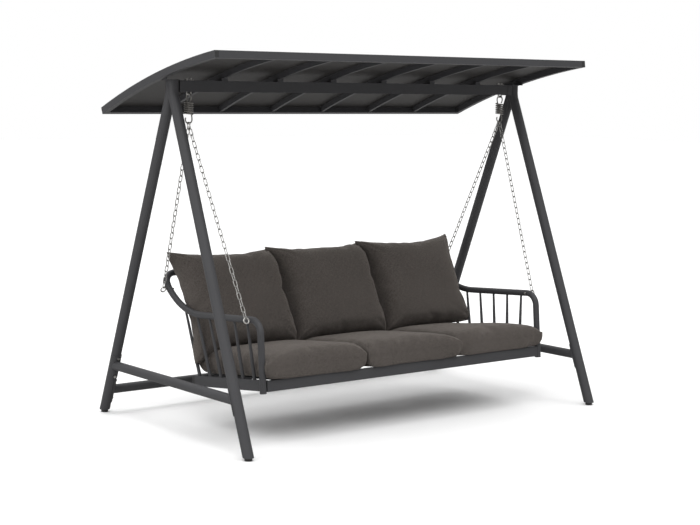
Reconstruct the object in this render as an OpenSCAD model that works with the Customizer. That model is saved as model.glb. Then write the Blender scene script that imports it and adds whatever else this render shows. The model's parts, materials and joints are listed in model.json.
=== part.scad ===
// Free-standing three-seat garden swing: two A-frames joined by a beam, an arched metal roof,
// and a cushioned bench that hangs on two coil springs and four chains.
// +X runs along the beam, -Y is the front, +Z is up. The origin is on the ground, under the beam.

/* [Stand] */
// Distance between the two A-frames, centre to centre
frame_span = 2570; // [2500:5:2640]
// Distance between the front and back feet, centre to centre
foot_spread = 1523; // [1480:1:1560]
// Height at which the centre lines of two legs meet
apex_z = 1930; // [1915:1:1940]
// Outer diameter of the leg tube
leg_d = 60; // [56:1:62]
// Outer diameter of the stretcher tubes between the legs
stretcher_d = 54; // [48:1:56]
// Height of the side stretchers' centre line
side_stretcher_z = 298; // [290:1:310]
// Height of the back stretcher's centre line
back_stretcher_z = 142; // [135:1:150]

/* [Beam] */
// Height of the beam's top face
beam_top = 1971; // [1968:1:1972]
// Width of the beam, front to back
beam_w = 60; // [50:1:60]
// Height of the beam's section
beam_h = 62; // [58:1:66]

/* [Roof] */
// Width of the roof
roof_w = 2746; // [2740:1:2760]
// Length of the roof's arc, front to back
roof_depth = 1224; // [1200:1:1240]
// Radius of the arched roof
roof_r = 4980; // [4900:10:5100]
// Slope at the middle of the roof, in degrees, down towards the back
roof_pitch = 15.1; // [14.9:0.1:15.3]
// Height of the roof's edge frame
roof_edge_h = 40; // [38:1:42]

/* [Bench] */
// Width between the outer faces of the bench frame
bench_w = 2046; // [2040:1:2050]
// Depth of the bench frame
bench_depth = 755; // [745:1:760]
// Height of the bench frame's top front edge
bench_front_z = 362; // [355:1:370]
// Angle of the bench frame, in degrees, lower at the back
bench_tilt = 6.5; // [6:0.1:7]
// Outer diameter of the armrest and back tube
bow_d = 38; // [36:1:38]
// Height of the back tube's centre line
bow_back_z = 845; // [840:1:850]

/* [Hanging gear] */
// Distance of each spring from the middle of the beam
hanger_x = 1178; // [1170:1:1185]
// Wire diameter of the springs
spring_wire = 7.5; // [7:0.5:8]
// Wire diameter of the chain links
link_wire = 5; // [4:0.5:5]
// Inner length of a chain link
link_inner = 37; // [36.9:0.1:38]
// Outer width of a chain link
link_w = 24; // [23:1:26]

/* [Cushions] */
// Thickness of a seat cushion at its middle
seat_cushion_t = 165; // [120:5:165]
// Thickness of a back cushion at its middle
back_cushion_t = 215; // [140:5:215]

/* [Hidden] */

LEFT = -1;
RIGHT = 1;
FRONT = -1;
BACK = 1;

anthracite = [0.24, 0.24, 0.26];
dark_plastic = [0.08, 0.08, 0.08];
zinc = [0.75, 0.74, 0.72];
cloth = [0.31, 0.29, 0.27];

$fn = 48;
far = 4000;     // larger than the swing, for cutting blocks
skin = 0.1;     // gap between curved faces that rest on each other

frame_x = frame_span / 2;
tube_wall = 2;
bend_step = 0.2;

leg_r = leg_d / 2;
leg_tilt = atan(foot_spread / 2 / apex_z);
leg_cut_z = 16;             // the tubes end this far above the ground
neck_y = 12;                // the vertical necks stand this far from the middle
neck_bend_r = 150;
glide_d = 42;

beam_wall = 3;
beam_bottom = beam_top - beam_h;
socket_length = 34;
socket_wall = 2.5;
socket_end_x = frame_x - leg_r - skin;
beam_half = socket_end_x - 4;

saddle_t = 4;
saddle_length = 150;
saddle_arc = 150;
saddle_bolt_reach = 60;
bolt_head_d = 15;
bolt_head_h = 6;
stretcher_end_r = leg_r + saddle_t + 2 * skin;

roof_edge_w = 30;
roof_wall = 2;
roof_mid_y = 48;
roof_mid_z = 2005;
roof_centre_y = roof_mid_y - roof_r * sin(roof_pitch);
roof_centre_z = roof_mid_z - roof_r * cos(roof_pitch);
roof_half_angle = roof_depth / 2 / roof_r * 180 / PI;
rail_angle = roof_edge_w / roof_r * 180 / PI;
roof_inner_x = roof_w / 2 - roof_edge_w;
rib_count = 6;
rib_pitch = 2 * roof_inner_x / (rib_count + 1);
rib_w = 20;
rib_top = 4.2;              // depth of the ribs' top below the roof's surface
rib_wall = 2;
rib_bottom = 36;
panel_top = 2;
panel_t = 2;
arc_fn = 1440;              // fine enough for the roof's large radius

bench_front_y = -550;
rail_w = 30;
rail_h = 60;
bench_half = bench_w / 2;
bow_r = bow_d / 2;
bow_x = bench_half + bow_r + skin;

// The armrest in side view: post, front corner, armrest, two sweeps up to the back corner
post_bottom = [-541, 292];
post_top = [-506, 687.5];
arm_low = [246.7, 633.5];
arm_sweep = [423, 762];
arm_corner = [480, bow_back_z];
corner_r = 70;
arm_radii = [75, 480, 150, corner_r];
arm_end_x = bow_x - corner_r - 10;

spindle_top_d = 13;
spindle_bottom_d = 21;
spindle_wall = 2;
side_spindles = 6;
back_spindles = 15;
back_spindle_pitch = 125;

u_bolt_d = 8;
u_bolt_half = 13;
u_bolt_corner = 8;
hinge_z = 1893.5;           // centre of the U-bolts' lower bar, the swing's axis
washer_t = 3;
nut_h = 6.5;
nut_af = 13;

loop_r = 23.75;             // all radii along the spring's wire are to its centre line
loop_z = hinge_z + u_bolt_d / 2 + 0.3 + spring_wire / 2 - loop_r;
coil_r = 22.75;
coil_turns = 6;
coil_pitch = 12;
coil_top_z = 1854;
coil_bottom_z = coil_top_z - coil_turns * coil_pitch;
hook_r = 21.5;
hook_z = 1756.5;
hook_low_z = hook_z - hook_r;
wire_sides = 8;

link_r = (link_w - link_wire) / 2;
link_half = link_inner / 2 - link_r + link_wire / 2;
link_side_step = 3;         // two end links hang side by side on each hook

eye_wire = 8;
eye_shank = 7;
eye_r = 16;
eye_x = bow_x + bow_r + eye_r + 7;
front_eye = [-436, 682.2];
back_eye = [418, 758.6];
front_links = 31;
back_links = 29;

cushion_gap = 3;
cushion_grid = 12;
seat_cushion_w = 664;
seat_cushion_d = 765;
seat_cushion_y = -28;       // the seat cushions overhang the front rail by this much
back_cushion_w = 690;
back_cushion_h = 615;
back_cushion_lean = 27;
back_cushion_foot = [120, 436];
back_cushion_share = 0.56;  // share of a back cushion's thickness in front of its seam
back_taper = 0.035;         // the back cushions narrow by this share towards the bench
rim_t = 6;

/* ---------- helpers ---------- */

function unit(v) = v / norm(v);
function leg_y(z) = foot_spread / 2 * (1 - z / apex_z);
function in_side(x, p) = [x, p.x, p.y];
function setback(a, v, b, r) = r * tan(acos(unit(v - a) * unit(b - v)) / 2);

module tube_section(d, wall) {
  difference() {
    circle(d = d);
    if (wall > 0) circle(d = d - 2 * wall);
  }
}

module straight_tube(a, b, d, wall) {
  run = b - a;
  translate(a)
    rotate([0, acos(run.z / norm(run)), atan2(run.y, run.x)])
      linear_extrude(norm(run)) tube_section(d, wall);
}

// The bend reaches a little way into the straight tubes at its ends, inside their wall
module bent_tube(a, corner, b, r, d, wall) {
  along = unit(corner - a);
  onward = unit(b - corner);
  turn = acos(along * onward);
  inward = unit(onward - (along * onward) * along);
  side = cross(-inward, along);
  centre = corner - along * r * tan(turn / 2) + inward * r;
  reach = 1 / r * 180 / PI;
  multmatrix([
    [-inward.x, along.x, side.x, centre.x],
    [-inward.y, along.y, side.y, centre.y],
    [-inward.z, along.z, side.z, centre.z],
    [0, 0, 0, 1]
  ])
    rotate([0, 0, -reach])
      rotate_extrude(angle = turn + 2 * reach, $fn = r > 200 ? 360 : 96)
        translate([r, 0])
          tube_section(d - 2 * bend_step, wall > 0 ? wall - 2 * bend_step : 0, $fn = 48);
}

// A tube along points, with a bend of the given radius at each inner point
module tube_route(points, radii, d, wall) {
  last = len(points) - 1;
  back = [
    0,
    for (i = [1:last - 1]) setback(points[i - 1], points[i], points[i + 1], radii[i - 1]),
    0
  ];
  for (i = [0:last - 1]) {
    along = unit(points[i + 1] - points[i]);
    straight_tube(points[i] + along * back[i], points[i + 1] - along * back[i + 1], d, wall);
  }
  for (i = [1:last - 1])
    bent_tube(points[i - 1], points[i], points[i + 1], radii[i - 1], d, wall);
}

// Rings of points swept along a path, each turned as little as possible from the one before
function path_tangent(path, i) =
  unit(path[min(i + 1, len(path) - 1)] - path[max(i - 1, 0)]);
function flatten_to(v, t) = unit(v - (v * t) * t);
function path_normals(path, first) = [
  for (
    i = 0, n = flatten_to(first, path_tangent(path, 0));
    i < len(path);
    i = i + 1, n = i < len(path) ? flatten_to(n, path_tangent(path, i)) : n
  ) n
];

module wire_sweep(path, first_normal, d, sides) {
  normals = path_normals(path, first_normal);
  rings = len(path);
  points = [
    for (i = [0:rings - 1])
      let (t = path_tangent(path, i), n = normals[i], b = cross(t, n))
        for (k = [0:sides - 1])
          path[i] + d / 2 * (cos(360 * k / sides) * n + sin(360 * k / sides) * b)
  ];
  walls = [
    for (i = [0:rings - 2], k = [0:sides - 1])
      let (next = (k + 1) % sides)
        [i * sides + k, i * sides + next, (i + 1) * sides + next, (i + 1) * sides + k]
  ];
  start_cap = [for (k = [sides - 1:-1:0]) k];
  end_cap = [for (k = [0:sides - 1]) (rings - 1) * sides + k];
  // faces are listed clockwise as seen from outside
  polyhedron(points, [for (f = concat(walls, [start_cap, end_cap])) [for (j = [len(f) - 1:-1:0]) f[j]]]);
}

/* ---------- stand ---------- */

module leg_frame(side_x, side_y, z) {
  translate([side_x * frame_x, side_y * leg_y(z), z])
    rotate([side_y * leg_tilt, 0, 0])
      children();
}

module leg(side_x, side_y) {
  x = side_x * frame_x;
  below = -40;
  neck_foot_z = apex_z * (1 - neck_y * 2 / foot_spread);
  color(anthracite)
    difference() {
      tube_route(
        [
          [x, side_y * leg_y(below), below],
          [x, side_y * neck_y, neck_foot_z],
          [x, side_y * neck_y, beam_top]
        ],
        [neck_bend_r], leg_d, tube_wall
      );
      translate([-far, -far, leg_cut_z - far]) cube([2 * far, 2 * far, far]);
      translate([-far, side_y > 0 ? -far : 0, 0]) cube([2 * far, far, far]);
    }
}

module foot_glides() {
  plug_h = 30;
  color(dark_plastic)
    for (side_x = [LEFT, RIGHT], side_y = [FRONT, BACK]) {
      translate([side_x * frame_x, side_y * leg_y(leg_cut_z), 0])
        cylinder(d = glide_d, h = leg_cut_z);
      difference() {
        leg_frame(side_x, side_y, leg_cut_z)
          translate([0, 0, -plug_h])
            cylinder(d = leg_d - 2 * tube_wall - 2 * skin, h = 2 * plug_h);
        translate([-far, -far, leg_cut_z - far]) cube([2 * far, 2 * far, far]);
      }
    }
}

module stretcher_side(side_x) {
  color(anthracite)
    difference() {
      translate([side_x * frame_x, 0, side_stretcher_z])
        rotate([90, 0, 0])
          linear_extrude(2 * leg_y(side_stretcher_z), center = true)
            tube_section(stretcher_d, tube_wall);
      for (side_y = [FRONT, BACK])
        leg_frame(side_x, side_y, side_stretcher_z)
          cylinder(r = stretcher_end_r, h = 200, center = true);
    }
}

module stretcher_back() {
  color(anthracite)
    difference() {
      translate([0, leg_y(back_stretcher_z), back_stretcher_z])
        rotate([0, 90, 0])
          linear_extrude(frame_span, center = true)
            tube_section(stretcher_d, tube_wall);
      for (side_x = [LEFT, RIGHT])
        leg_frame(side_x, BACK, back_stretcher_z)
          cylinder(r = stretcher_end_r, h = 200, center = true);
    }
}

// A curved plate against a leg, in the leg's own frame, facing the given direction
module saddle(facing) {
  rotate([0, 0, facing - saddle_arc / 2])
    rotate_extrude(angle = saddle_arc)
      translate([leg_r + skin, -saddle_length / 2])
        square([saddle_t, saddle_length]);
}

module saddles_side(side_x) {
  color(anthracite)
    for (side_y = [FRONT, BACK])
      leg_frame(side_x, side_y, side_stretcher_z)
        saddle(side_y * -90);
}

module saddles_back() {
  color(anthracite)
    for (side_x = [LEFT, RIGHT])
      leg_frame(side_x, BACK, back_stretcher_z)
        saddle(side_x < 0 ? 0 : 180);
}

module saddle_bolt_pair(facing) {
  for (reach = [-saddle_bolt_reach, saddle_bolt_reach])
    translate([0, 0, reach])
      rotate([0, 90, facing])
        translate([0, 0, leg_r + saddle_t - 0.5])
          difference() {
            cylinder(d = bolt_head_d, h = bolt_head_h);
            translate([0, 0, 3]) cylinder(d = 6, h = bolt_head_h, $fn = 6);
            rotate([0, -90, 0])
              translate([0, 0, -bolt_head_d])
                translate([-(leg_r + saddle_t - 0.5), 0, 0])
                  cylinder(r = leg_r + saddle_t + 2 * skin, h = 2 * bolt_head_d);
          }
}

module saddle_bolts() {
  color(zinc) {
    for (side_x = [LEFT, RIGHT], side_y = [FRONT, BACK])
      leg_frame(side_x, side_y, side_stretcher_z)
        saddle_bolt_pair(side_y * -90);
    for (side_x = [LEFT, RIGHT])
      leg_frame(side_x, BACK, back_stretcher_z)
        saddle_bolt_pair(side_x < 0 ? 0 : 180);
  }
}

module beam() {
  bolt_hole_d = u_bolt_d + 1;
  color(anthracite)
    difference() {
      translate([-beam_half, -beam_w / 2, beam_bottom])
        cube([2 * beam_half, beam_w, beam_h]);
      translate([-far, -beam_w / 2 + beam_wall, beam_bottom + beam_wall])
        cube([2 * far, beam_w - 2 * beam_wall, beam_h - 2 * beam_wall]);
      for (side_x = [LEFT, RIGHT], leg_side = [-1, 1])
        translate([side_x * hanger_x + leg_side * u_bolt_half, 0, beam_bottom - 10])
          cylinder(d = bolt_hole_d, h = beam_h + 20);
    }
}

module beam_sockets() {
  outer_w = beam_w + 2 * socket_wall;
  outer_h = beam_h + socket_wall;
  color(anthracite)
    for (turn = [0, 1])
      mirror([turn, 0, 0]) difference() {
        translate([socket_end_x - socket_length, -outer_w / 2, beam_bottom - socket_wall])
          cube([socket_length, outer_w, outer_h]);
        translate([socket_end_x - far - 4, -beam_w / 2, beam_bottom])
          cube([far, beam_w, far]);
      }
}

module u_bolt(side_x) {
  bar = u_bolt_half - u_bolt_corner;
  corner_z = hinge_z + u_bolt_corner;
  leg_top = beam_top + washer_t + nut_h + 3;
  color(zinc)
    translate([side_x * hanger_x, 0, 0]) {
      translate([-bar, 0, hinge_z])
        rotate([0, 90, 0])
          cylinder(d = u_bolt_d, h = 2 * bar);
      for (turn = [0, 180])
        rotate([0, 0, turn]) {
          translate([bar, 0, corner_z])
            rotate([90, 0, 0])
              rotate([0, 0, -90])
                rotate_extrude(angle = 90)
                  translate([u_bolt_corner, 0])
                    circle(d = u_bolt_d);
          translate([u_bolt_half, 0, corner_z])
            cylinder(d = u_bolt_d, h = leg_top - corner_z);
        }
    }
}

module u_bolt_nuts() {
  hole_d = u_bolt_d + 2 * skin;
  color(zinc)
    for (side_x = [LEFT, RIGHT])
      translate([side_x * hanger_x, 0, beam_top]) {
        difference() {
          translate([-26, -11, 0]) cube([52, 22, washer_t]);
          for (leg_side = [-1, 1])
            translate([leg_side * u_bolt_half, 0, -1]) cylinder(d = hole_d, h = washer_t + 2);
        }
        for (leg_side = [-1, 1])
          translate([leg_side * u_bolt_half, 0, washer_t])
            difference() {
              cylinder(d = nut_af / cos(30), h = nut_h, $fn = 6);
              translate([0, 0, -1]) cylinder(d = hole_d, h = nut_h + 2);
            }
      }
}

/* ---------- roof ---------- */

// A strip of the arched roof: depths are measured down from the roof's surface,
// angles from the middle of the arc, positive towards the back
module roof_arc(x_from, x_to, top, bottom, from, to) {
  translate([x_from, roof_centre_y, roof_centre_z])
    rotate([180 - roof_pitch, 0, 0])
      rotate([0, 90, 0])
        rotate([0, 0, -to])
          rotate_extrude(angle = to - from, $fn = arc_fn)
            translate([roof_r - bottom, 0])
              square([bottom - top, x_to - x_from]);
}

module roof_side(side_x) {
  color(anthracite)
    mirror([side_x < 0 ? 1 : 0, 0, 0])
      difference() {
        roof_arc(roof_inner_x, roof_w / 2, 0, roof_edge_h, -roof_half_angle, roof_half_angle);
        roof_arc(
          roof_inner_x + roof_wall, roof_w / 2 - roof_wall, roof_wall, roof_edge_h - roof_wall,
          -roof_half_angle - 1, roof_half_angle + 1
        );
      }
}

module roof_cross_rail(from, to) {
  color(anthracite)
    difference() {
      roof_arc(-roof_inner_x, roof_inner_x, 0, roof_edge_h, from, to);
      roof_arc(
        -roof_inner_x - 1, roof_inner_x + 1, roof_wall, roof_edge_h - roof_wall,
        from + rail_angle * roof_wall / roof_edge_w, to - rail_angle * roof_wall / roof_edge_w
      );
    }
}

module roof_rib(i) {
  x = -roof_inner_x + i * rib_pitch;
  inner_angle = roof_half_angle - rail_angle;
  half = rib_w / 2;
  color(anthracite)
    difference() {
      roof_arc(x - half, x + half, rib_top, rib_bottom, -inner_angle, inner_angle);
      roof_arc(
        x - half + rib_wall, x + half - rib_wall, rib_top + rib_wall, rib_bottom - rib_wall,
        -inner_angle - 1, inner_angle + 1
      );
    }
}

module roof_panels() {
  inner_angle = roof_half_angle - rail_angle;
  seam = 1;
  color(anthracite * 1.2)
    for (i = [0:rib_count])
      roof_arc(
        -roof_inner_x + i * rib_pitch + seam / 2, -roof_inner_x + (i + 1) * rib_pitch - seam / 2,
        panel_top, panel_top + panel_t, -inner_angle, inner_angle
      );
}

function roof_z(y, depth) =
  roof_centre_z + sqrt(pow(roof_r - depth, 2) - pow(y - roof_centre_y, 2));

// Wedges between the flat beam and the sloping ribs
module roof_clamps() {
  under_rib = rib_bottom + 2 * skin;
  half = beam_w / 2 - 2;
  color(anthracite)
    for (i = [1:rib_count])
      translate([-roof_inner_x + i * rib_pitch - 20, 0, 0])
        rotate([90, 0, 90])
          linear_extrude(40)
            polygon([
              [-half, beam_top], [half, beam_top],
              [half, roof_z(half, under_rib)], [-half, roof_z(-half, under_rib)]
            ]);
}

// Plates on the leg heads that reach out to the roof's side rails
module head_brackets() {
  plate_t = 4;
  half = 38;
  lug_top = roof_z(half, panel_top + panel_t + 6);
  color(anthracite)
    for (turn = [0, 1])
      mirror([turn, 0, 0]) {
        translate([frame_x - leg_r, -half, beam_top])
          cube([roof_inner_x - skin - frame_x + leg_r, 2 * half, plate_t]);
        translate([roof_inner_x - skin - plate_t, -half, beam_top + plate_t])
          cube([plate_t, 2 * half, lug_top - beam_top - plate_t]);
      }
}

module roof_end_caps() {
  cap_angle = 2 / roof_r * 180 / PI;
  color(dark_plastic)
    for (turn = [0, 1], end = [-1, 1])
      mirror([turn, 0, 0])
        roof_arc(
          roof_inner_x + roof_wall + skin, roof_w / 2 - roof_wall - skin,
          roof_wall + skin, roof_edge_h - roof_wall - skin,
          min(end * roof_half_angle, end * (roof_half_angle - cap_angle)),
          max(end * roof_half_angle, end * (roof_half_angle - cap_angle))
        );
}

/* ---------- springs and chains ---------- */

// Points on a cubic curve from a to b that leaves along da and arrives along db
function blend_points(a, da, b, db, steps) = [
  for (i = [1:steps - 1])
    let (t = i / steps, s = 1 - t)
      s * s * s * a + 3 * s * s * t * (a + da) + 3 * s * t * t * (b - db) + t * t * t * b
];

function spring_path() =
  let (
    loop = [for (a = [-150:10:90]) [0, loop_r * sin(a), loop_z + loop_r * cos(a)]],
    coil_step = 15,
    coil = [
      for (a = [0:coil_step:360 * coil_turns - 90])
        [coil_r * cos(a + 90), coil_r * sin(a + 90), coil_top_z - coil_pitch * a / 360]
    ],
    hook = [for (a = [0:10:210]) [hook_r * cos(a), 0, hook_z - hook_r * sin(a)]],
    loop_end = loop[len(loop) - 1],
    coil_end = coil[len(coil) - 1]
  )
  concat(
    loop,
    blend_points(loop_end, [0, 0, -16], coil[0], [-10, 0, 0], 6),
    coil,
    blend_points(coil_end, [0, 10, 0], hook[0], [0, 0, -14], 6),
    hook
  );

module spring(side_x) {
  color(zinc * 0.8)
    translate([side_x * hanger_x, 0, 0])
      wire_sweep(spring_path(), [1, 0, 0], spring_wire, wire_sides);
}

// One link in the YZ plane, its length along Z
module chain_link() {
  rotate([90, 0, 90]) {
    for (turn = [0, 180])
      rotate([0, 0, turn])
        translate([0, link_half, 0])
          rotate_extrude(angle = 180, $fn = 32)
            translate([link_r, 0])
              circle(d = link_wire, $fn = 16);
    for (side = [-1, 1])
      translate([side * link_r, -link_half, 0])
        rotate([-90, 0, 0])
          cylinder(d = link_wire, h = 2 * link_half, $fn = 16);
  }
}

// The point on an eye's wire from which its chain is pulled
function eye_hold(eye, hook) = eye + unit(hook - eye) * eye_r;

module chain(side_x, side_y) {
  hook = [side_x * hanger_x - side_x * side_y * link_side_step, 0, hook_low_z];
  eye_at = side_y < 0 ? front_eye : back_eye;
  hold = eye_hold([side_x * eye_x, eye_at.x, eye_at.y], hook);
  links = side_y < 0 ? front_links : back_links;
  run = hold - hook;
  end_step = link_inner / 2 - eye_wire / 2 - 0.2;
  step = (norm(run) - 2 * end_step) / (links - 1);
  color(zinc)
    translate(hook)
      rotate([asin(run.y / norm(run)), atan2(-run.x, -run.z), 0])
        for (i = [0:links - 1])
          translate([0, 0, -end_step - i * step])
            rotate([0, 0, i % 2 * 90])
              chain_link();
}

// A ring with a threaded shank through the armrest tube
module chain_eye(side_x, at) {
  eye = [side_x * eye_x, at.x, at.y];
  hook = [side_x * hanger_x, 0, hook_low_z];
  pull = unit(hook - eye);
  shank_end = bow_x - bow_r - 11;
  translate(eye)
    rotate([-asin(pull.y), 0, 0])
      rotate([90, 0, 0])
        rotate_extrude() translate([eye_r, 0]) circle(d = eye_wire, $fn = 24);
  translate([side_x < 0 ? eye_r - eye_x - 1 : shank_end, at.x, at.y])
    rotate([0, 90, 0])
      cylinder(d = eye_shank, h = eye_x - eye_r - shank_end + 1);
}

module chain_eyes(side_x) {
  color(zinc)
    for (at = [front_eye, back_eye])
      chain_eye(side_x, at);
}

module chain_eye_nuts() {
  color(zinc)
    for (side_x = [LEFT, RIGHT], at = [front_eye, back_eye])
      mirror([side_x < 0 ? 1 : 0, 0, 0])
        translate([bow_x - bow_r - 0.2, at.x, at.y])
          rotate([0, -90, 0])
            difference() {
              cylinder(d = nut_af / cos(30), h = nut_h, $fn = 6);
              translate([0, 0, -1]) cylinder(d = eye_shank + 2 * skin, h = nut_h + 2);
            }
}

/* ---------- bench ---------- */

// The bench frame's own space: origin at the top front edge, +Y to the back along the seat
module bench_space() {
  translate([0, bench_front_y, bench_front_z])
    rotate([-bench_tilt, 0, 0])
      children();
}

module box_tube(size, axis) {
  hollow = [for (i = [0:2]) i == axis ? size[i] + 2 : size[i] - 2 * tube_wall];
  offset = [for (i = [0:2]) i == axis ? -1 : tube_wall];
  difference() {
    cube(size);
    translate(offset) cube(hollow);
  }
}

module bench_cross_rail(y) {
  color(anthracite)
    bench_space()
      translate([-bench_half, y, -rail_h])
        box_tube([bench_w, rail_w, rail_h], 0);
}

module bench_side(side_x) {
  x = side_x < 0 ? -bench_half : bench_half - rail_w;
  color(anthracite)
    bench_space()
      translate([x, rail_w, -rail_h])
        box_tube([rail_w, bench_depth - 2 * rail_w, rail_h], 1);
}

module bench_slats() {
  slat_count = 11;
  slat_w = 45;
  slat_t = 6;
  pitch = (bench_w - 2 * rail_w) / slat_count;
  color(anthracite)
    bench_space()
      for (i = [0:slat_count - 1])
        translate([-bench_half + rail_w + (i + 0.5) * pitch - slat_w / 2, rail_w, -slat_t - 2])
          cube([slat_w, bench_depth - 2 * rail_w, slat_t]);
}

module bench_caps() {
  cap_t = 2;
  color(dark_plastic) {
    bench_space()
      for (turn = [0, 1], y = [0, bench_depth - rail_w])
        mirror([turn, 0, 0])
          translate([bench_half - cap_t, y + tube_wall + skin, -rail_h + tube_wall + skin])
            cube([cap_t, rail_w - 2 * tube_wall - 2 * skin, rail_h - 2 * tube_wall - 2 * skin]);
    for (side_x = [LEFT, RIGHT])
      straight_tube(
        in_side(side_x * bow_x, post_bottom),
        in_side(side_x * bow_x, post_bottom) + cap_t * unit(in_side(0, post_top - post_bottom)),
        bow_d - 2 * tube_wall - 2 * skin, 0
      );
  }
}

module arm_tube(side_x, d, wall) {
  x = side_x * bow_x;
  tube_route(
    [
      in_side(x, post_bottom), in_side(x, post_top), in_side(x, arm_low),
      in_side(x, arm_sweep), in_side(x, arm_corner), in_side(side_x * arm_end_x, arm_corner)
    ],
    arm_radii, d, wall
  );
}

module arm(side_x) {
  color(anthracite)
    difference() {
      arm_tube(side_x, bow_d, tube_wall);
      for (at = [front_eye, back_eye])
        translate([side_x * bow_x, at.x, at.y])
          rotate([0, 90, 0])
            cylinder(d = eye_shank + 2 * skin, h = 2 * bow_d, center = true);
    }
}

module back_tube() {
  color(anthracite)
    straight_tube(in_side(-arm_end_x, arm_corner), in_side(arm_end_x, arm_corner), bow_d, tube_wall);
}

module spindle(a, b) {
  run = b - a;
  overrun = 12;
  stations = 6;
  belly = 0.5;              // the taper swells by this much at half height
  function radius(t) = (spindle_bottom_d * (1 - t) + spindle_top_d * t) / 2 + belly * sin(180 * t);
  function along(t) = -overrun + t * (norm(run) + overrun);
  steps = [for (i = [0:stations]) i / stations];
  translate(a)
    rotate([0, acos(run.z / norm(run)), atan2(run.y, run.x)])
      rotate_extrude()
        polygon(concat(
          [for (t = steps) [radius(t), along(t)]],
          [for (i = [stations:-1:0]) [radius(steps[i]) - spindle_wall, along(steps[i])]]
        ));
}

module below_bench_top() {
  bench_space()
    translate([-far, -far, -far])
      cube([2 * far, 2 * far, far]);
}

function bench_point(x, depth) =
  [x, bench_front_y + depth * cos(bench_tilt), bench_front_z - depth * sin(bench_tilt)];
function arm_height(y) = post_top.y + (y - post_top.x) * (arm_low.y - post_top.y) / (arm_low.x - post_top.x);

module spindles_side(side_x) {
  first_depth = 141;
  depth_pitch = 111;
  first_top_y = -380;
  top_pitch = 125.5;
  sweep_from = 65;          // from here back the armrest curves upwards
  color(anthracite)
    difference() {
      for (i = [0:side_spindles - 1]) {
        top_y = first_top_y + i * top_pitch;
        rise = top_y > sweep_from ? pow(top_y - sweep_from, 2) / 900 : 0;
        spindle(
          bench_point(side_x * (bench_half - rail_w / 2), first_depth + i * depth_pitch),
          [side_x * bow_x, top_y, arm_height(top_y) + rise]
        );
      }
      below_bench_top();
      arm_tube(side_x, bow_d + 2 * skin, 0);
    }
}

// A third of the back spindles, behind one cushion
module spindles_back(place) {
  depth = bench_depth - rail_w / 2;
  share = back_spindles / 3;
  color(anthracite)
    difference() {
      for (i = [0:share - 1]) {
        x = (place * share + i - (share - 1) / 2) * back_spindle_pitch;
        spindle(bench_point(x, depth), in_side(x, arm_corner));
      }
      below_bench_top();
      straight_tube(in_side(-far, arm_corner), in_side(far, arm_corner), bow_d + 2 * skin, 0);
    }
}

/* ---------- cushions ---------- */

// A closed pillow with pointed corners: w along X, h along Y, its seam in the XY plane
module pillow(w, h, above, below, taper) {
  n = cushion_grid;
  ear = 0.055;
  function across(i) = sin(90 * (2 * i / n - 1));
  function plump(u, v, face) =
    let (flat = face > 0 ? 3 : 5)
      pow((1 - pow(abs(u), flat)) * (1 - pow(abs(v), flat)), face > 0 ? 0.45 : 0.35);
  function at(i, j, face) =
    let (u = across(i), v = across(j), full = face > 0 ? above : below)
      [
        u * w / 2 * (1 - ear * (1 - v * v)) * (1 - taper * (1 - v) / 2),
        v * h / 2 * (1 - ear / 2 * (1 - u * u)),
        face * (rim_t / 2 + plump(u, v, face) * (full - rim_t / 2))
      ];
  row = n + 1;
  layer = row * row;
  points = [for (face = [1, -1], j = [0:n], i = [0:n]) at(i, j, face)];
  tops = [
    for (j = [0:n - 1], i = [0:n - 1])
      [j * row + i, (j + 1) * row + i, (j + 1) * row + i + 1, j * row + i + 1]
  ];
  bottoms = [for (f = tops) [for (k = [3:-1:0]) f[k] + layer]];
  rim = concat(
    [for (i = [0:n - 1]) i],
    [for (j = [0:n - 1]) j * row + n],
    [for (i = [n:-1:1]) n * row + i],
    [for (j = [n:-1:1]) j * row]
  );
  sides = [
    for (k = [0:len(rim) - 1])
      let (a = rim[k], b = rim[(k + 1) % len(rim)])
        [a, b, b + layer, a + layer]
  ];
  polyhedron(points, concat(tops, bottoms, sides), convexity = 4);
}

module seat_cushion(place) {
  half = seat_cushion_t / 2;
  color(cloth)
    bench_space()
      translate([
        place * (seat_cushion_w + cushion_gap),
        seat_cushion_y + seat_cushion_d / 2,
        half + 0.5
      ])
        pillow(seat_cushion_w, seat_cushion_d, half, half, 0);
}

module back_cushion(place) {
  front = back_cushion_t * back_cushion_share;
  color(cloth * 0.95)
    translate([place * (back_cushion_w + cushion_gap), back_cushion_foot.x, back_cushion_foot.y])
      rotate([90 - back_cushion_lean, 0, 0])
        translate([0, back_cushion_h / 2, 0])
          pillow(back_cushion_w, back_cushion_h, front, back_cushion_t - front, back_taper);
}

/* ---------- every node ---------- */

leg(LEFT, FRONT);  // leg_front_left
leg(RIGHT, FRONT);  // leg_front_right
leg(LEFT, BACK);  // leg_back_left
leg(RIGHT, BACK);  // leg_back_right
foot_glides();
beam();
beam_sockets();
stretcher_side(LEFT);  // stretcher_left
stretcher_side(RIGHT);  // stretcher_right
stretcher_back();
saddles_side(LEFT);  // saddles_left
saddles_side(RIGHT);  // saddles_right
saddles_back();
saddle_bolts();
u_bolt(LEFT);  // u_bolt_left
u_bolt(RIGHT);  // u_bolt_right
u_bolt_nuts();
roof_side(LEFT);  // roof_side_left
roof_side(RIGHT);  // roof_side_right
roof_cross_rail(-roof_half_angle, -roof_half_angle + rail_angle);  // roof_front
roof_cross_rail(roof_half_angle - rail_angle, roof_half_angle);  // roof_back
for (i = [1:rib_count])
  roof_rib(i);
roof_panels();
roof_clamps();
head_brackets();
roof_end_caps();
spring(LEFT);  // spring_left
spring(RIGHT);  // spring_right
chain(LEFT, FRONT);  // chain_front_left
chain(RIGHT, FRONT);  // chain_front_right
chain(LEFT, BACK);  // chain_back_left
chain(RIGHT, BACK);  // chain_back_right
chain_eyes(LEFT);  // chain_eyes_left
chain_eyes(RIGHT);  // chain_eyes_right
chain_eye_nuts();
arm(LEFT);  // arm_left
arm(RIGHT);  // arm_right
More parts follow.
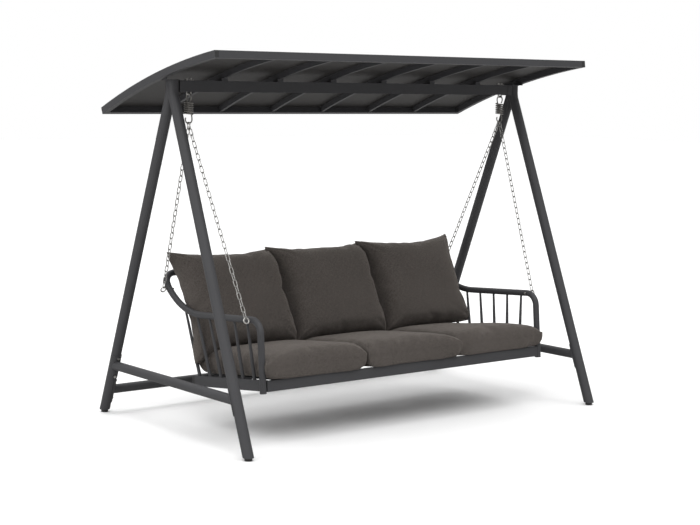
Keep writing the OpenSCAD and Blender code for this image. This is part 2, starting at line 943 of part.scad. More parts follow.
back_tube();
bench_cross_rail(0);  // bench_front_rail
bench_cross_rail(bench_depth - rail_w);  // bench_back_rail
bench_side(LEFT);  // bench_side_left
bench_side(RIGHT);  // bench_side_right
bench_slats();
spindles_side(LEFT);  // spindles_left
spindles_side(RIGHT);  // spindles_right
spindles_back(-1);  // spindles_back_left
spindles_back(0);  // spindles_back_middle
spindles_back(1);  // spindles_back_right
bench_caps();
seat_cushion(-1);  // seat_cushion_left
seat_cushion(0);  // seat_cushion_middle
seat_cushion(1);  // seat_cushion_right
back_cushion(-1);  // back_cushion_left
back_cushion(0);  // back_cushion_middle
back_cushion(1);  // back_cushion_right
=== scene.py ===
"""Looks for the free-standing garden swing: materials, cushions, springs, camera and studio light."""

import json
import math

import bmesh
import bpy
import numpy as np
from mathutils import Matrix, Vector


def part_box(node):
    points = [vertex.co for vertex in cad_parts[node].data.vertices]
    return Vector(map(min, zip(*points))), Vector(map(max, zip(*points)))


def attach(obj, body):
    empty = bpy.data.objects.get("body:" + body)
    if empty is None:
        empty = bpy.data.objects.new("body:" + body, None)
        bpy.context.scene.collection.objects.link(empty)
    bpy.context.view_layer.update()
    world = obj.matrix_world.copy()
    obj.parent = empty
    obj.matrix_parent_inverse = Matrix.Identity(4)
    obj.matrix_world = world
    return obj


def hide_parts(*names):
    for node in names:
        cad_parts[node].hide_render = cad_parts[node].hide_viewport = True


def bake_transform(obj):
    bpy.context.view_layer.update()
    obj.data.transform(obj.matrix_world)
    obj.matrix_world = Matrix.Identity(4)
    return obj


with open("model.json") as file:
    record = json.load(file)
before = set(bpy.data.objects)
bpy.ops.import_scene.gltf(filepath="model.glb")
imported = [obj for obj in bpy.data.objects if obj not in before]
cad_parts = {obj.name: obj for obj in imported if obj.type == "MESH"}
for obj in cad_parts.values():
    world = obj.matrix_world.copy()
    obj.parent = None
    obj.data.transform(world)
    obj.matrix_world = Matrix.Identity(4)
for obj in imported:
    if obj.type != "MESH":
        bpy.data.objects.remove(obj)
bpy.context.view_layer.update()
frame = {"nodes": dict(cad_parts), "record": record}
nodes = frame["nodes"]


# ---------- material helpers ----------


def new_material(name):
    mat = bpy.data.materials.new(name)
    mat.use_nodes = True
    tree = mat.node_tree
    tree.nodes.clear()
    out = tree.nodes.new("ShaderNodeOutputMaterial")
    shader = tree.nodes.new("ShaderNodeBsdfPrincipled")
    tree.links.new(shader.outputs["BSDF"], out.inputs["Surface"])
    return mat, tree, shader


def add(tree, kind, **settings):
    node = tree.nodes.new(kind)
    for key, value in settings.items():
        if key in node.inputs:
            node.inputs[key].default_value = value
        else:
            setattr(node, key, value)
    return node


def object_position(tree):
    return add(tree, "ShaderNodeTexCoord").outputs["Object"]


def noise(tree, where, scale, detail=3.0, roughness=0.5):
    node = add(tree, "ShaderNodeTexNoise")
    node.inputs["Scale"].default_value = scale
    node.inputs["Detail"].default_value = detail
    node.inputs["Roughness"].default_value = roughness
    tree.links.new(where, node.inputs["Vector"])
    return node.outputs["Fac"]


def math_node(tree, operation, a, b=None):
    node = add(tree, "ShaderNodeMath", operation=operation)
    for i, value in enumerate((a, b)):
        if value is None:
            continue
        if isinstance(value, (int, float)):
            node.inputs[i].default_value = value
        else:
            tree.links.new(value, node.inputs[i])
    return node.outputs[0]


def remap(tree, value, low, high, to_low, to_high):
    node = add(tree, "ShaderNodeMapRange")
    tree.links.new(value, node.inputs["Value"])
    for name, number in (("From Min", low), ("From Max", high), ("To Min", to_low), ("To Max", to_high)):
        node.inputs[name].default_value = number
    return node.outputs["Result"]


def mix_colour(tree, factor, a, b):
    node = add(tree, "ShaderNodeMix", data_type="RGBA")
    tree.links.new(factor, node.inputs["Factor"])
    for socket, value in ((node.inputs[6], a), (node.inputs[7], b)):
        if isinstance(value, tuple):
            socket.default_value = (*value, 1.0)
        else:
            tree.links.new(value, socket)
    return node.outputs[2]


def bump(tree, height, distance, strength=1.0, under=None):
    node = add(tree, "ShaderNodeBump")
    node.inputs["Distance"].default_value = distance
    node.inputs["Strength"].default_value = strength
    tree.links.new(height, node.inputs["Height"])
    if under is not None:
        tree.links.new(under, node.inputs["Normal"])
    return node.outputs["Normal"]


def edge_highlight_mask(tree, radius):
    """0 on flat surfaces, towards 1 on sharp edges, where the powder coat gets a painted highlight."""
    bevel = add(tree, "ShaderNodeBevel", samples=4)
    bevel.inputs["Radius"].default_value = radius
    geometry = add(tree, "ShaderNodeNewGeometry")
    dot = add(tree, "ShaderNodeVectorMath", operation="DOT_PRODUCT")
    tree.links.new(bevel.outputs["Normal"], dot.inputs[0])
    tree.links.new(geometry.outputs["Normal"], dot.inputs[1])
    return remap(tree, dot.outputs["Value"], 1.0, 0.75, 0.0, 1.0)


# ---------- materials ----------


def powder_coat(name, colour, roughness, gloss=0.3):
    """Fine-textured powder coat: orange peel, faint cloudiness, and sharp edges painted lighter as a
    painted highlight.
    """
    mat, tree, shader = new_material(name)
    where = object_position(tree)
    cloud = noise(tree, where, 6.0, 4.0)
    grain = noise(tree, where, 900.0, 2.0)
    dark = tuple(c * 0.92 for c in colour)
    light = tuple(c * 1.1 for c in colour)
    base = mix_colour(tree, cloud, dark, light)
    # sharp edges are painted lighter, towards the lit colour of the frame: a painted highlight
    fade_and_highlight = math_node(tree, "MULTIPLY", edge_highlight_mask(tree, 0.0015), 0.35)
    colour_out = mix_colour(tree, fade_and_highlight, base, tuple(min(1.0, c * 2.2 + 0.02) for c in colour))
    tree.links.new(colour_out, shader.inputs["Base Color"])
    rough = remap(tree, grain, 0.3, 0.7, roughness - 0.05, roughness + 0.07)
    tree.links.new(rough, shader.inputs["Roughness"])
    shader.inputs["Specular IOR Level"].default_value = gloss
    peel = noise(tree, where, 420.0, 2.0)
    normal = bump(tree, peel, 0.00012, 0.6)
    tree.links.new(bump(tree, grain, 0.00005, 0.6, under=normal), shader.inputs["Normal"])
    return mat


def zinc(name, colour, roughness, spangle=60.0):
    """Zinc-plated steel: a slightly clouded metal with fine scratches."""
    mat, tree, shader = new_material(name)
    where = object_position(tree)
    cloud = noise(tree, where, spangle, 3.0)
    scratch = noise(tree, where, 1400.0, 2.0)
    base = mix_colour(tree, cloud, tuple(c * 0.82 for c in colour), colour)
    tree.links.new(base, shader.inputs["Base Color"])
    shader.inputs["Metallic"].default_value = 1.0
    rough = remap(tree, cloud, 0.3, 0.7, roughness - 0.06, roughness + 0.08)
    tree.links.new(rough, shader.inputs["Roughness"])
    tree.links.new(bump(tree, scratch, 0.00004, 0.5), shader.inputs["Normal"])
    return mat


def plastic(name, colour):
    """Grained black plastic with paler scuffs."""
    mat, tree, shader = new_material(name)
    where = object_position(tree)
    grain = noise(tree, where, 1200.0, 2.0)
    scuff = noise(tree, where, 35.0, 5.0, 0.7)
    scuffed = tuple(c * 2.0 + 0.01 for c in colour)
    base = mix_colour(tree, remap(tree, scuff, 0.55, 0.75, 0.0, 0.6), colour, scuffed)
    tree.links.new(base, shader.inputs["Base Color"])
    tree.links.new(remap(tree, scuff, 0.3, 0.7, 0.5, 0.62), shader.inputs["Roughness"])
    tree.links.new(bump(tree, grain, 0.0001, 0.5), shader.inputs["Normal"])
    return mat


def weave(name, colour, thread=0.0021):
    """Plain weave of melange yarns. It reads the weave_uv attribute, in metres along the cloth."""
    mat, tree, shader = new_material(name)
    cloth_uv = add(tree, "ShaderNodeAttribute", attribute_name="weave_uv").outputs["Vector"]
    where = object_position(tree)
    split = add(tree, "ShaderNodeSeparateXYZ")
    # a slow wobble keeps the yarns from running ruler straight
    wobble = add(tree, "ShaderNodeTexNoise")
    wobble.inputs["Scale"].default_value = 45.0
    wobble.inputs["Detail"].default_value = 2.0
    tree.links.new(cloth_uv, wobble.inputs["Vector"])
    shift = add(tree, "ShaderNodeVectorMath", operation="SCALE")
    tree.links.new(wobble.outputs["Color"], shift.inputs[0])
    shift.inputs["Scale"].default_value = thread * 0.7
    moved = add(tree, "ShaderNodeVectorMath", operation="ADD")
    tree.links.new(cloth_uv, moved.inputs[0])
    tree.links.new(shift.outputs[0], moved.inputs[1])
    tree.links.new(moved.outputs[0], split.inputs[0])
    turn = math.pi / thread
    across = math_node(tree, "SINE", math_node(tree, "MULTIPLY", split.outputs[0], turn))
    along = math_node(tree, "SINE", math_node(tree, "MULTIPLY", split.outputs[1], turn))
    over = math_node(tree, "MULTIPLY", across, along)
    warp = math_node(tree, "ABSOLUTE", across)
    weft = math_node(tree, "ABSOLUTE", along)
    is_warp = math_node(tree, "GREATER_THAN", over, 0.0)
    height = add(tree, "ShaderNodeMix", data_type="FLOAT")
    tree.links.new(is_warp, height.inputs["Factor"])
    tree.links.new(weft, height.inputs[2])
    tree.links.new(warp, height.inputs[3])
    high = height.outputs[0]

    # yarns differ in tone along their length, as melange yarn does
    def slub(scale_x, scale_y):
        stretched = add(tree, "ShaderNodeVectorMath", operation="MULTIPLY")
        tree.links.new(cloth_uv, stretched.inputs[0])
        stretched.inputs[1].default_value = (scale_x, scale_y, 1.0)
        return noise(tree, stretched.outputs[0], 1.0, 3.0, 0.6)

    warp_tone = slub(320.0, 60.0)
    weft_tone = slub(60.0, 320.0)
    tone = add(tree, "ShaderNodeMix", data_type="FLOAT")
    tree.links.new(is_warp, tone.inputs["Factor"])
    tree.links.new(weft_tone, tone.inputs[2])
    tree.links.new(warp_tone, tone.inputs[3])
    yarn = mix_colour(
        tree,
        remap(tree, tone.outputs[0], 0.3, 0.7, 0.0, 1.0),
        tuple(c * 0.3 for c in colour),
        tuple(min(1.0, c * 1.95) for c in colour),
    )
    # the hollows between yarns are darkened from the weave's height: painted shade
    yarn_gap_shade = remap(tree, high, 0.1, 0.7, 0.55, 1.0)
    shaded = add(tree, "ShaderNodeMix", data_type="RGBA", blend_type="MULTIPLY")
    shaded.inputs["Factor"].default_value = 1.0
    tree.links.new(yarn, shaded.inputs[6])
    tree.links.new(yarn_gap_shade, shaded.inputs[7])
    fade_and_highlight = remap(tree, noise(tree, where, 5.0, 3.0), 0.35, 0.65, 0.0, 0.12)
    faded = mix_colour(tree, fade_and_highlight, shaded.outputs[2], tuple(min(1.0, c * 1.5) for c in colour))
    tree.links.new(faded, shader.inputs["Base Color"])
    shader.inputs["Roughness"].default_value = 0.9
    shader.inputs["Specular IOR Level"].default_value = 0.2
    shader.inputs["Sheen Weight"].default_value = 0.25
    shader.inputs["Sheen Roughness"].default_value = 0.5
    shader.inputs["Sheen Tint"].default_value = (0.75, 0.68, 0.62, 1.0)
    crease = bump(tree, noise(tree, where, 28.0, 4.0, 0.6), 0.0012, 0.35)
    tree.links.new(bump(tree, high, 0.0005, 0.9, under=crease), shader.inputs["Normal"])
    return mat


PAINT = powder_coat("anthracite_powder_coat", (0.043, 0.043, 0.046), roughness=0.55)
SHEET = powder_coat("roof_sheet_coat", (0.027, 0.0255, 0.0245), roughness=0.6)
HARDWARE = zinc("zinc_plate", (0.52, 0.51, 0.49), 0.34)
CHAIN = zinc("bright_chain", (0.42, 0.415, 0.40), 0.3, spangle=90.0)
SPRING = zinc("spring_steel", (0.26, 0.25, 0.235), 0.4)
PLASTIC = plastic("black_plastic", (0.012, 0.012, 0.012))
CLOTH = weave("taupe_weave", (0.064, 0.0555, 0.050))

BY_SLOT = {
    "frame_paint": PAINT,
    "roof_sheet": SHEET,
    "zinc_hardware": HARDWARE,
    "chain_steel": CHAIN,
    "spring_steel": SPRING,
    "black_plastic": PLASTIC,
    "seat_cloth": CLOTH,
    "back_cloth": CLOTH,
}


def smooth_by_angle(obj, degrees):
    """Smooth shading with sharp edges over the given angle."""
    mesh = obj.data
    mesh.polygons.foreach_set("use_smooth", [True] * len(mesh.polygons))
    work = bmesh.new()
    work.from_mesh(mesh)
    limit = math.radians(degrees)
    sharp = [e.index for e in work.edges if len(e.link_faces) != 2 or e.calc_face_angle(0.0) > limit]
    work.free()
    marks = np.zeros(len(mesh.edges), bool)
    marks[sharp] = True
    attribute = mesh.attributes.get("sharp_edge") or mesh.attributes.new("sharp_edge", "BOOLEAN", "EDGE")
    attribute.data.foreach_set("value", marks)
    mesh.update()


for part in frame["record"]["subparts"]:
    node = nodes[part["node"]]
    node.data.materials.clear()
    node.data.materials.append(BY_SLOT[part["material_slot"]])


# ---------- cushions ----------

GRID = 46  # cells along each side of a pillow
RIM = 0.005  # height of the band between the two sheets of cloth
CROWDING = 0.97  # towards 1, the cells are narrower at the seam


def grid_uv():
    """The pillow grid's own coordinates from -1 to 1, closer together towards the seam."""
    line = np.sin(np.pi / 2 * np.linspace(-CROWDING, CROWDING, GRID + 1))
    line /= math.sin(math.pi / 2 * CROWDING)
    v, u = np.meshgrid(line, line, indexing="ij")
    return np.tile(u.ravel(), 2), np.tile(v.ravel(), 2)


U, V = grid_uv()
FACE = np.repeat((1.0, -1.0), (GRID + 1) ** 2)


def pillow_points(w, h, above, below, cut):
    """A closed pillow in its own space: w along X, h along Y, above and below the seam along Z.

    In cut, sides, top, bottom and sole say how square the profile is towards each edge, under how full
    the underside is, and the dips and the taper how far the edges pull in.
    """
    full = np.where(FACE > 0, above, below)
    across = np.where(U < 0, *cut["sides"])
    along = np.where(V < 0, cut["bottom"], cut["top"])
    along = np.where((FACE < 0) & (V < 0), along * cut["sole"], along)
    root = np.where(FACE > 0, 0.42, cut["under"])
    plump = (1 - np.abs(U) ** across) ** 0.42 * (1 - np.abs(V) ** along) ** root
    dip = np.where(V > 0, cut["top_dip"], cut["bottom_dip"])
    x = U * w / 2 * (1 - cut["side_dip"] * (1 - V * V)) * (1 - cut["taper"] * (1 - V) / 2)
    y = V * h / 2 * (1 - dip * (1 - np.abs(U) ** 3.5))
    z = FACE * (RIM / 2 + plump * (full - RIM / 2))
    return np.stack((x, y, z), 1)


def pillow_mesh(name, points):
    """Two sheets of quads joined by a narrow rim."""
    row = GRID + 1
    layer = row * row
    tops = [
        (j * row + i, j * row + i + 1, (j + 1) * row + i + 1, (j + 1) * row + i)
        for j in range(GRID) for i in range(GRID)
    ]
    bottoms = [tuple(k + layer for k in reversed(f)) for f in tops]
    rim = (
        list(range(GRID))
        + [j * row + GRID for j in range(GRID)]
        + [GRID * row + i for i in range(GRID, 0, -1)]
        + [j * row for j in range(GRID, 0, -1)]
    )
    after = rim[1:] + rim[:1]
    sides = [(b, a, a + layer, b + layer) for a, b in zip(rim, after)]
    mesh = bpy.data.meshes.new(name)
    mesh.from_pydata(points.tolist(), [], tops + bottoms + sides)
    mesh.update()
    return mesh


def lay_weave(mesh, co):
    """Stores cloth coordinates in metres, measured along the surface, to keep the weave's scale."""
    sheets = co.reshape(2, GRID + 1, GRID + 1, 3)
    lengths = []
    for axis in (2, 1):
        step = np.linalg.norm(np.diff(sheets, axis=axis), axis=3)
        run = np.concatenate((np.zeros_like(np.take(step, [0], axis)), np.cumsum(step, axis)), axis)
        lengths.append((run - np.take(run, [GRID // 2], axis)).ravel())
    cloth = np.stack((*lengths, FACE), 1).astype(np.float32)
    attribute = mesh.attributes.new("weave_uv", "FLOAT_VECTOR", "POINT")
    attribute.data.foreach_set("vector", cloth.ravel())


def get_points(mesh):
    co = np.zeros(len(mesh.vertices) * 3, np.float32)
    mesh.vertices.foreach_get("co", co)
    return co.reshape(-1, 3).astype(float)


def set_points(mesh, co):
    mesh.vertices.foreach_set("co", co.astype(np.float32).ravel())
    mesh.update()


CLOTH_FRAMES = 22
PRESSURE = 4.0
SLACK = 0.035  # share of spare cloth
START_NOISE = 0.0008  # metres
SIDEWAYS = 0.3  # a filled cover keeps its outline; the folds are in its thickness


def inflate(obj, cap, seed):
    """Blows the pillow up as cloth, so that it swells and gathers, then applies the result."""
    mesh = obj.data
    rest = get_points(mesh)
    set_points(mesh, rest + np.random.default_rng(seed).normal(0.0, START_NOISE, rest.shape))
    cloth = obj.modifiers.new("cloth", "CLOTH")
    settings = cloth.settings
    settings.quality = 6
    settings.mass = 0.2
    settings.tension_stiffness = 22
    settings.compression_stiffness = 22
    settings.shear_stiffness = 8
    settings.bending_stiffness = 0.25
    settings.use_pressure = True
    settings.uniform_pressure_force = PRESSURE
    settings.shrink_min = -SLACK
    settings.effector_weights.gravity = 0.0
    cloth.collision_settings.use_collision = False
    cloth.collision_settings.use_self_collision = False
    cloth.point_cache.frame_start = 1
    cloth.point_cache.frame_end = CLOTH_FRAMES
    scene = bpy.context.scene
    for step in range(1, CLOTH_FRAMES + 1):
        scene.frame_set(step)
    solved = obj.evaluated_get(bpy.context.evaluated_depsgraph_get())
    move = get_points(solved.data) - rest
    move[:, :2] *= SIDEWAYS
    length = np.linalg.norm(move, axis=1, keepdims=True)
    move *= np.minimum(1.0, cap / np.maximum(length, 1e-9))
    obj.modifiers.remove(cloth)
    set_points(mesh, rest + move)
    scene.frame_set(1)


def fit_inside(co, w, h, above, below):
    """Scales the pillow so that its overall size is that of its CAD solid, with the seam at Z = 0."""
    low, high = co.min(0), co.max(0)
    co[:, :2] = (co[:, :2] - (low[:2] + high[:2]) / 2) * (np.array([w, h]) / (high - low)[:2])
    up = co[:, 2] > 0
    co[up, 2] *= above / high[2]
    co[~up, 2] *= below / -low[2]
    return co


def pull_corners(co, pulls):
    """Moves each corner by a vector that fades out over its reach."""
    for (su, sv), (move, reach) in pulls.items():
        weight = np.exp(-(((1 - U * su) / reach) ** 2) - ((1 - V * sv) / reach) ** 2)
        co += weight[:, None] * np.array(move)
    return co


def gather(co, depth, under, seed):
    """Small folds that run in from the corners and along the seams, as a filled cover has."""
    rng = np.random.default_rng(seed)
    out = np.zeros(len(co))
    for su in (-1, 1):
        for sv in (-1, 1):
            a, b = 1 - U * su, 1 - V * sv
            angle = np.arctan2(b, a)
            radius = np.hypot(a, b)
            fade = np.exp(-((radius / 0.42) ** 2)) * np.minimum(1.0, radius / 0.05)
            count = rng.uniform(4.0, 5.5)
            crease = 1 - np.abs(np.sin(angle * count + rng.uniform(0, 3.14) + FACE * 0.6))
            out -= fade * crease**1.6 * depth * 1.5
    seam = 1 - np.maximum(np.abs(U), np.abs(V))
    run = np.where(np.abs(U) > np.abs(V), V, U)
    ripple = np.zeros(len(co))
    for turns in (11.0, 17.0, 23.0):
        ripple += np.sin(run * turns + rng.uniform(0, 6.28) + FACE * 1.3) / 3
    out += np.exp(-((seam / 0.16) ** 2)) * (seam > 0.004) * ripple * depth * 0.5
    broad = np.sin(U * 2.3 + rng.uniform(0, 6.28)) * np.sin(V * 2.9 + rng.uniform(0, 6.28))
    middle = (1 - U * U) * (1 - V * V)
    out += broad * middle * depth * 0.8
    co[:, 2] += np.where(FACE > 0, out, -out * under)
    return co


def lie_flat(co, below, edge, drop):
    """Flattens the underside on the bench; its front edge sags a little where it hangs over the rail."""
    under = FACE < 0
    share = np.clip(-co[under, 2] / below, 0, 1)
    co[under, 2] = -below * (1 - (1 - share) ** 2.2)
    past = np.clip((edge - co[:, 1]) / 0.01, 0, 1)
    co[:, 2] -= np.where(FACE < 0, drop * past * past * (3 - 2 * past), 0.0)
    return co


UNFILLED = 0.93  # thickness before the cloth swells, as a share of the whole
OVERHANG = 0.026  # length of a seat cushion that hangs over the front rail
SAG = 0.008


def cushion(kind, side, size, cut, place, seed, pulls, cap, folds):
    """Makes one seat or back cushion; cap is how far the cloth may swell, folds how deep it creases."""
    w, h, above, below = size
    name = f"{kind}_pad_{side}"
    on_bench = kind == "seat"
    points = pillow_points(w, h, above * UNFILLED, below * UNFILLED, cut)
    obj = bpy.data.objects.new(name, pillow_mesh(name, points))
    bpy.context.scene.collection.objects.link(obj)
    inflate(obj, cap, seed)
    co = fit_inside(get_points(obj.data), w, h, above, below)
    co = pull_corners(gather(co, folds, 0.0 if on_bench else 1.0, seed), pulls)
    if on_bench:
        co = lie_flat(co, below, OVERHANG - h / 2, SAG)
    set_points(obj.data, co)
    lay_weave(obj.data, co)
    obj.data.transform(place)
    obj.data.update()
    mod = obj.modifiers.new("round", "SUBSURF")
    mod.levels = 1
    mod.render_levels = 1
    obj.data.materials.append(CLOTH)
    obj.data.polygons.foreach_set("use_smooth", [True] * len(obj.data.polygons))
    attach(obj, "seat")
    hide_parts(f"{kind}_cushion_{side}")


# Places of the CAD cushions, in metres
TILT = math.radians(6.5)
BENCH_FRONT = (-0.550, 0.362)
SEAT_PITCH, SEAT_DEPTH, SEAT_PROUD, SEAT_SEAM = 0.667, 0.765, 0.028, 0.083
LEAN = math.radians(27.0)
BACK_FOOT = (0.120, 0.436)
BACK_PITCH, BACK_HEIGHT = 0.693, 0.615

# Width, length, and thickness above and below the seam
SEAT_SIZE = (0.662, 0.762, 0.082, 0.081)
BACK_SIZE = (0.686, 0.612, 0.119, 0.093)
# How square each cushion's left and right side are; outer sides are soft, and sides against a
# neighbour are squarer, so that no gap shows
SEAT_SIDES = {-1: (2.8, 5.0), 0: (6.0, 3.0), 1: (5.5, 2.5)}
BACK_SIDES = {-1: (6.5, 8.0), 0: (8.0, 8.0), 1: (8.0, 6.5)}
SEAT_CUT = {
    "side_dip": 0.018, "top_dip": 0.02, "bottom_dip": 0.012, "taper": 0.0,
    "top": 5.0, "bottom": 10.0, "sole": 4.0, "under": 0.20,
}
BACK_CUT = {
    "side_dip": 0.024, "top_dip": 0.125, "bottom_dip": -0.012, "taper": 0.02,
    "top": 3.6, "bottom": 9.0, "sole": 1.0, "under": 0.42,
}

# Corner pulls in metres in a cushion's own space, with the reach as a share of its half size.
# Keys are (left or right, bottom or top); on a seat cushion bottom is the front.
OUTER, TUCKED = 0.30, 0.26
SEAT_PULLS = {
    -1: {(-1, -1): ((-0.046, -0.010, 0.0), OUTER), (1, -1): ((-0.004, 0.006, 0.002), TUCKED)},
    0: {(1, -1): ((0.042, -0.014, -0.002), OUTER), (-1, -1): ((0.004, 0.004, 0.0), TUCKED)},
    1: {(1, -1): ((0.050, -0.010, 0.0), OUTER), (-1, -1): ((0.010, 0.020, -0.004), TUCKED)},
}
BACK_PULLS = {
    -1: {
        (-1, 1): ((-0.042, -0.004, 0.004), OUTER),
        (1, 1): ((-0.012, -0.016, -0.022), TUCKED),
        (-1, -1): ((-0.012, -0.072, -0.042), OUTER),
        (1, -1): ((0.006, -0.018, 0.0), TUCKED),
    },
    0: {
        (-1, 1): ((-0.064, -0.022, 0.034), OUTER),
        (1, 1): ((-0.012, -0.016, -0.022), TUCKED),
        (-1, -1): ((-0.004, -0.018, 0.0), TUCKED),
        (1, -1): ((0.006, -0.018, 0.0), TUCKED),
    },
    1: {
        (-1, 1): ((-0.062, -0.020, 0.034), OUTER),
        (1, 1): ((0.044, 0.000, 0.004), OUTER),
        (-1, -1): ((-0.004, -0.018, 0.0), TUCKED),
        (1, -1): ((0.016, -0.004, 0.010), TUCKED),
    },
}

for i, side in ((-1, "left"), (0, "middle"), (1, "right")):
    seat_place = (
        Matrix.Translation((i * SEAT_PITCH, *BENCH_FRONT))
        @ Matrix.Rotation(-TILT, 4, "X")
        @ Matrix.Translation((0, -SEAT_PROUD + SEAT_DEPTH / 2, SEAT_SEAM))
    )
    seat_cut = {**SEAT_CUT, "sides": SEAT_SIDES[i]}
    cushion("seat", side, SEAT_SIZE, seat_cut, seat_place, 11 + i, SEAT_PULLS[i], 0.010, 0.007)
    back_place = (
        Matrix.Translation((i * BACK_PITCH, *BACK_FOOT))
        @ Matrix.Rotation(math.pi / 2 - LEAN, 4, "X")
        @ Matrix.Translation((0, BACK_HEIGHT / 2, 0))
    )
    back_cut = {**BACK_CUT, "sides": BACK_SIDES[i]}
    cushion("back", side, BACK_SIZE, back_cut, back_place, 31 + i, BACK_PULLS[i], 0.014, 0.009)


# ---------- springs ----------

WIRE = 0.0075
SPRING_X = (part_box("spring_right")[0].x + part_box("spring_right")[1].x) / 2


def cubic(a, da, b, db, steps):
    """Points between a and b on a curve that leaves along da and arrives along db."""
    for i in range(1, steps):
        t = i / steps
        q = 1 - t
        yield a * q**3 + (a + da) * 3 * q * q * t + (b - db) * 3 * q * t * t + b * t**3


def spring_path():
    """Centre line of the wire: top loop, coils, open bottom hook."""
    # in millimetres until the last line
    loop_r, coil_r, pitch, hook_r = 23.75, 22.75, 12.0, 21.5
    loop_z, coil_z, hook_z = 1901.55 - loop_r, 1854.0, 1756.5

    def angles(start, stop, step):
        return [math.radians(a) for a in np.arange(start, stop + 1, step)]

    loop = [
        Vector((0, loop_r * math.sin(a), loop_z + loop_r * math.cos(a)))
        for a in angles(-150, 90, 6)
    ]
    coil = [
        Vector((-coil_r * math.sin(a), coil_r * math.cos(a), coil_z - pitch * a / math.tau))
        for a in angles(0, 2070, 9)
    ]
    hook = [
        Vector((hook_r * math.cos(a), 0, hook_z - hook_r * math.sin(a)))
        for a in angles(0, 210, 6)
    ]
    path = loop + list(cubic(loop[-1], Vector((0, 0, -16)), coil[0], Vector((-10, 0, 0)), 8)) + coil
    path += list(cubic(coil[-1], Vector((0, 10, 0)), hook[0], Vector((0, 0, -14)), 8)) + hook
    return [p / 1000 for p in path]


def tube(name, path, radius, sides=14):
    """A round wire along a path, with domed ends."""
    end = len(path) - 1
    tangents = [(path[min(i + 1, end)] - path[max(i - 1, 0)]).normalized() for i in range(end + 1)]
    normal = tangents[0].orthogonal().normalized()
    points, faces = [], []
    for i, (centre, tangent) in enumerate(zip(path, tangents)):
        normal = (normal - tangent * normal.dot(tangent)).normalized()
        other = tangent.cross(normal)
        from_end = min(i, end - i)
        shrink = (0.55, 0.9)[from_end] if from_end < 2 else 1.0
        for k in range(sides):
            a = math.tau * k / sides
            points.append(centre + (normal * math.cos(a) + other * math.sin(a)) * radius * shrink)
    for i in range(end):
        for k in range(sides):
            a, b = i * sides + k, i * sides + (k + 1) % sides
            faces.append((a, b, b + sides, a + sides))
    last = end * sides
    faces += [tuple(reversed(range(sides))), tuple(range(last, last + sides))]
    mesh = bpy.data.meshes.new(name)
    mesh.from_pydata(points, [], faces)
    mesh.update()
    obj = bpy.data.objects.new(name, mesh)
    bpy.context.scene.collection.objects.link(obj)
    return obj


for side, turn in (("left", -1), ("right", 1)):
    route = [p + Vector((turn * SPRING_X, 0, 0)) for p in spring_path()]
    wire = tube("spring_wire_" + side, route, WIRE / 2)
    wire.data.materials.append(SPRING)
    smooth_by_angle(wire, 50)
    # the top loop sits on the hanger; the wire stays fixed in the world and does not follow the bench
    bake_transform(wire)
    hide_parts("spring_" + side)


# ---------- shading of the frame ----------

for node in nodes.values():
    if not node.hide_render:
        smooth_by_angle(node, 32)


# ---------- studio ----------


def floor(half=40.0):
    mesh = bpy.data.meshes.new("floor")
    corners = [(-half, -half, 0), (half, -half, 0), (half, half, 0), (-half, half, 0)]
    mesh.from_pydata(corners, [], [(0, 1, 2, 3)])
    obj = bpy.data.objects.new("floor", mesh)
    bpy.context.scene.collection.objects.link(obj)
    mat, tree, shader = new_material("pale_floor")
    where = object_position(tree)
    tone = mix_colour(tree, noise(tree, where, 1.5, 2.0), (0.86, 0.86, 0.86), (0.88, 0.88, 0.88))
    # the object sees a greyer floor than the camera does, which keeps its undersides dark
    seen = add(tree, "ShaderNodeLightPath").outputs["Is Camera Ray"]
    tree.links.new(mix_colour(tree, seen, (0.50, 0.495, 0.49), tone), shader.inputs["Base Color"])
    shader.inputs["Roughness"].default_value = 0.7
    obj.data.materials.append(mat)


def area_light(name, place, target, size, power):
    data = bpy.data.lights.new(name, "AREA")
    data.shape = "RECTANGLE"
    data.size, data.size_y = size
    data.energy = power
    obj = bpy.data.objects.new(name, data)
    bpy.context.scene.collection.objects.link(obj)
    obj.location = place
    obj.rotation_euler = (Vector(target) - Vector(place)).to_track_quat("-Z", "Y").to_euler()


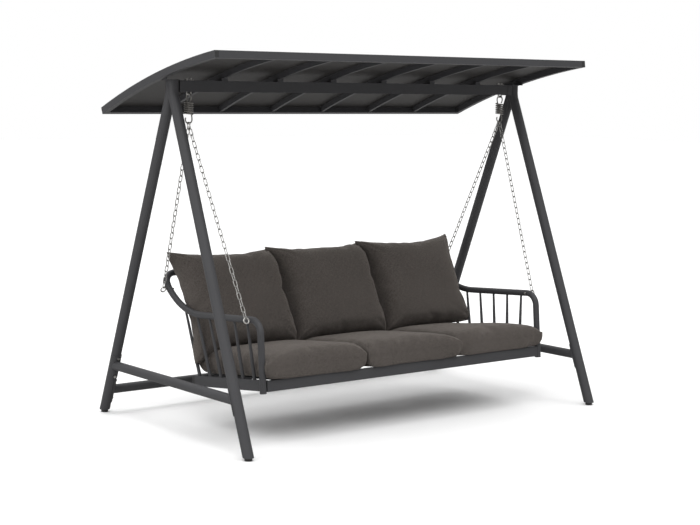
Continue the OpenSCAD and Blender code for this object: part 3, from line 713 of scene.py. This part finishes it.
def world_light(horizon, zenith):
    """Soft light from above, plain white where the camera sees it."""
    world = bpy.data.worlds.new("studio")
    bpy.context.scene.world = world
    world.use_nodes = True
    tree = world.node_tree
    tree.nodes.clear()
    direction = add(tree, "ShaderNodeSeparateXYZ")
    tree.links.new(add(tree, "ShaderNodeTexCoord").outputs["Generated"], direction.inputs[0])
    glow = remap(tree, direction.outputs[2], 0.0, 1.0, horizon, zenith)
    light, white = add(tree, "ShaderNodeBackground"), add(tree, "ShaderNodeBackground")
    tree.links.new(glow, light.inputs["Strength"])
    white.inputs["Strength"].default_value = 1.0
    for background in (light, white):
        background.inputs["Color"].default_value = (1.0, 1.0, 1.0, 1.0)
    mix = add(tree, "ShaderNodeMixShader")
    tree.links.new(add(tree, "ShaderNodeLightPath").outputs["Is Camera Ray"], mix.inputs[0])
    tree.links.new(light.outputs[0], mix.inputs[1])
    tree.links.new(white.outputs[0], mix.inputs[2])
    tree.links.new(mix.outputs[0], add(tree, "ShaderNodeOutputWorld").inputs["Surface"])


floor()
world_light(0.06, 2.1)
area_light("key", (-3.5, -5.0, 6.0), (0, 0, 0.7), (3.0, 3.0), 130.0)
area_light("side", (-7.0, -0.5, 2.2), (0, 0, 1.2), (4.0, 3.0), 90.0)
area_light("top", (0.3, 0.3, 7.0), (0, 0, 0.0), (7.0, 6.0), 120.0)

bpy.context.scene.view_settings.view_transform = "Standard"

# The camera looks from the front left, from just under the height of the roof
CAMERA = (-5.861, -7.384, 1.956)
YAW, PITCH, ROLL = (math.radians(a) for a in (38.298, 6.433, 0.795))
LENS = 80.77
forward = Vector((math.sin(YAW) * math.cos(PITCH), math.cos(YAW) * math.cos(PITCH), -math.sin(PITCH)))
level = Vector((math.cos(YAW), -math.sin(YAW), 0.0))
upward = level.cross(forward)
right = level * math.cos(ROLL) + upward * math.sin(ROLL)
up = upward * math.cos(ROLL) - level * math.sin(ROLL)
camera_data = bpy.data.cameras.new("camera")
camera_data.lens = LENS
camera_data.sensor_width = 36.0
camera_data.clip_end = 200.0
camera = bpy.data.objects.new("camera", camera_data)
bpy.context.scene.collection.objects.link(camera)
turn = Matrix((right, up, -forward)).transposed()
camera.matrix_world = Matrix.Translation(CAMERA) @ turn.to_4x4()
bpy.context.scene.camera = camera

bpy.context.view_layer.update()
